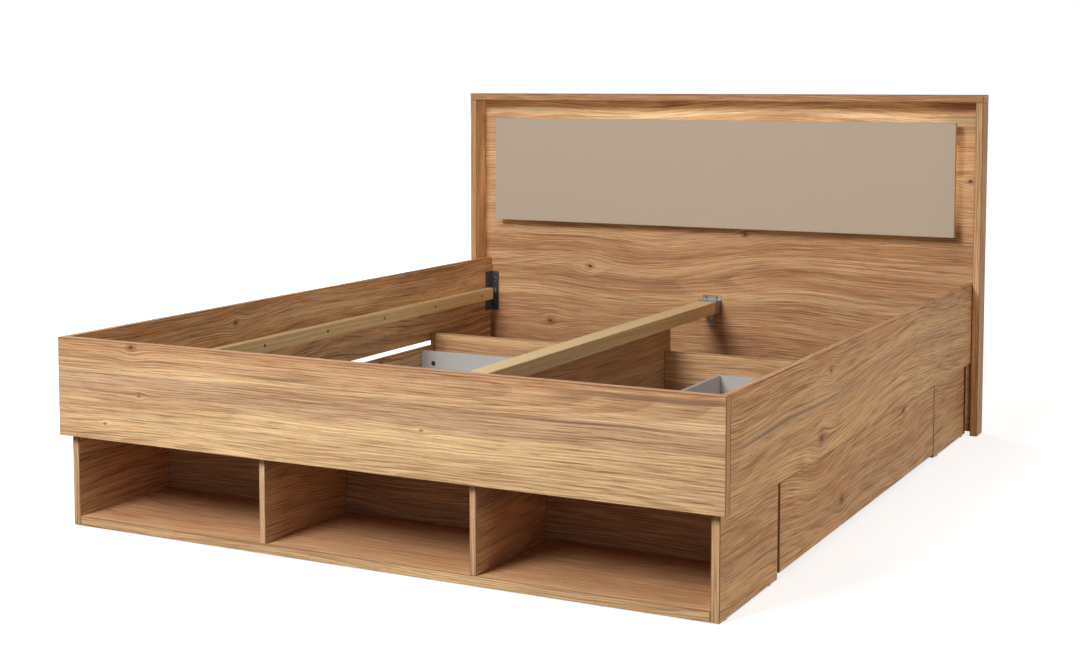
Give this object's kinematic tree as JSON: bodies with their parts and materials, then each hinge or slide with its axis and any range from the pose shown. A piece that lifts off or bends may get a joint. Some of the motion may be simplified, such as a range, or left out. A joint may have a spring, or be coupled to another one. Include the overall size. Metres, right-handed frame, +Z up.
{
  "type": "storage bed frame",
  "caption": "Low storage bed frame with a lit headboard panel, open shelf niches under the footboard and roll-out drawers on castors along the sides",
  "frame": {"origin": "on the floor under the middle of the bed's bounding box", "axes": "+Z up, +Y from the footboard to the headboard, +X to the right seen from the foot of the bed"},
  "size_m": [1.696, 2.066, 1],
  "materials": {
    "wood_decor": "matte wood-grain decor",
    "beige_board": "smooth matte",
    "pine": "planed, bare",
    "grey_board": "smooth matte",
    "dark_steel": "satin",
    "zinc_steel": "zinc plated",
    "aluminium": "satin",
    "light_diffuser": "frosted, lit from inside",
    "black_plastic": "matte"
  },
  "bodies": {
    "bed_frame": {"headboard_left_post": "wood_decor", "headboard_right_post": "wood_decor", "headboard_top_board": "wood_decor", "headboard_panel": "wood_decor", "footboard": "wood_decor", "left_rail": "wood_decor", "right_rail": "wood_decor", "shelf_bottom": "wood_decor", "shelf_top": "wood_decor", "shelf_back": "wood_decor", "shelf_left_end": "wood_decor", "shelf_right_end": "wood_decor", "shelf_left_divider": "wood_decor", "shelf_right_divider": "wood_decor", "center_partition": "wood_decor", "left_cross_panel": "wood_decor", "right_cross_panel": "wood_decor", "left_rear_panel": "wood_decor", "right_rear_panel": "wood_decor", "accent_panel": "beige_board", "left_batten": "pine", "right_batten": "pine", "center_beam": "pine", "accent_spacers": "pine", "corner_bracket_head_left": "dark_steel", "corner_bracket_head_right": "dark_steel", "corner_bracket_foot_left": "dark_steel", "corner_bracket_foot_right": "dark_steel", "beam_shoe_head": "zinc_steel", "beam_shoe_foot": "zinc_steel", "batten_screws": "zinc_steel", "bracket_screws": "zinc_steel", "led_channel_top": "aluminium", "led_channel_left": "aluminium", "led_channel_right": "aluminium", "led_diffusers": "light_diffuser", "glides": "black_plastic"},
    "left_drawer": {"left_drawer_front": "wood_decor", "left_drawer_foot_side": "grey_board", "left_drawer_head_side": "grey_board", "left_drawer_back": "grey_board", "left_drawer_floor": "grey_board", "left_drawer_cams": "dark_steel", "left_drawer_forks": "zinc_steel"},
    "left_drawer_wheels_inner": {"left_drawer_wheels_inner": "black_plastic"},
    "left_drawer_wheels_outer": {"left_drawer_wheels_outer": "black_plastic"},
    "right_drawer": {"right_drawer_front": "wood_decor", "right_drawer_foot_side": "grey_board", "right_drawer_head_side": "grey_board", "right_drawer_back": "grey_board", "right_drawer_floor": "grey_board", "right_drawer_cams": "dark_steel", "right_drawer_forks": "zinc_steel"},
    "right_drawer_wheels_inner": {"right_drawer_wheels_inner": "black_plastic"},
    "right_drawer_wheels_outer": {"right_drawer_wheels_outer": "black_plastic"}
  },
  "joints": [
    {"name": "left_drawer_slide", "type": "slide", "parent": "bed_frame", "child": "left_drawer", "axis": [-1, 0, 0], "range_m": [0, 0.55]},
    {"name": "left_drawer_wheels_inner_spin", "type": "hinge", "parent": "left_drawer", "child": "left_drawer_wheels_inner", "pos_m": [-0.257, -0.03, 0.02], "axis": [0, 1, 0], "continuous": true},
    {"name": "left_drawer_wheels_outer_spin", "type": "hinge", "parent": "left_drawer", "child": "left_drawer_wheels_outer", "pos_m": [-0.73, -0.03, 0.02], "axis": [0, 1, 0], "continuous": true},
    {"name": "right_drawer_slide", "type": "slide", "parent": "bed_frame", "child": "right_drawer", "axis": [1, 0, 0], "range_m": [0, 0.55]},
    {"name": "right_drawer_wheels_inner_spin", "type": "hinge", "parent": "right_drawer", "child": "right_drawer_wheels_inner", "pos_m": [0.257, -0.03, 0.02], "axis": [0, 1, 0], "continuous": true},
    {"name": "right_drawer_wheels_outer_spin", "type": "hinge", "parent": "right_drawer", "child": "right_drawer_wheels_outer", "pos_m": [0.73, -0.03, 0.02], "axis": [0, 1, 0], "continuous": true}
  ],
  "couplings": [
    {"joint": "left_drawer_wheels_inner_spin", "follows": "left_drawer_slide", "rad_per_m": -50},
    {"joint": "left_drawer_wheels_outer_spin", "follows": "left_drawer_slide", "rad_per_m": -50},
    {"joint": "right_drawer_wheels_inner_spin", "follows": "right_drawer_slide", "rad_per_m": 50},
    {"joint": "right_drawer_wheels_outer_spin", "follows": "right_drawer_slide", "rad_per_m": 50}
  ]
}
